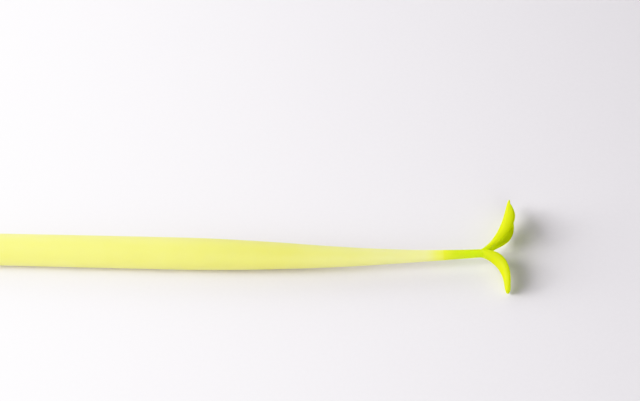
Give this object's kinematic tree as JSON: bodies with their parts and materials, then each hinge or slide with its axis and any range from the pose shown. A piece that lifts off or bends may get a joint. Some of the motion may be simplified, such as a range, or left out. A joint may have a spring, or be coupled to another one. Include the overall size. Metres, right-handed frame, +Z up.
{
  "type": "gel pen",
  "caption": "Capped gel pen with a soft silicone barrel that tapers into a bent stem ending in a two-leaf sprout; the refill, nose cone and cap slide apart.",
  "frame": {"origin": "on the surface the pen lies on, under the middle of the whole pen's length and width", "axes": "+X along the pen from the cap to the sprout, +Y towards the side the neck bends to, +Z up"},
  "size_m": [0.2, 0.0322, 0.0094],
  "materials": {
    "pale_silicone": "soft matt silicone with a fine skin",
    "green_silicone": "soft matt silicone, slightly translucent",
    "core_plastic": "moulded, satin",
    "nose_plastic": "moulded, satin gloss",
    "clear_plastic": "natural translucent polypropylene",
    "ink": "black gel ink",
    "grease": "clear yellowish follower grease",
    "tip_metal": "turned stainless steel",
    "spring_steel": "drawn wire",
    "ball_carbide": "polished tungsten carbide",
    "seal_rubber": "plain moulded rubber"
  },
  "bodies": {
    "barrel": {"barrel_sleeve": "pale_silicone", "sprout": "green_silicone", "core_tube": "core_plastic", "tail_stop": "core_plastic"},
    "refill": {"ink_tube": "clear_plastic", "ink_column": "ink", "grease_follower": "grease", "tip_holder": "clear_plastic", "tip_body": "tip_metal", "tip_spring": "spring_steel"},
    "ball": {"writing_ball": "ball_carbide"},
    "nose": {"nose_cone": "nose_plastic"},
    "cap": {"cap_skin": "pale_silicone", "cap_cup": "core_plastic", "cap_seal": "seal_rubber"}
  },
  "joints": [
    {"name": "refill_slide", "type": "slide", "parent": "barrel", "child": "refill", "axis": [-1, 0, 0], "range_m": [0, 0.1]},
    {"name": "nose_slide", "type": "slide", "parent": "refill", "child": "nose", "axis": [-1, 0, 0], "range_m": [0, 0.04]},
    {"name": "cap_slide", "type": "slide", "parent": "nose", "child": "cap", "axis": [-1, 0, 0], "range_m": [0, 0.032]},
    {"name": "ball_roll", "type": "hinge", "parent": "refill", "child": "ball", "pos_m": [-0.09616, -0.00695, 0.0047], "axis": [0, 1, 0], "continuous": true}
  ]
}
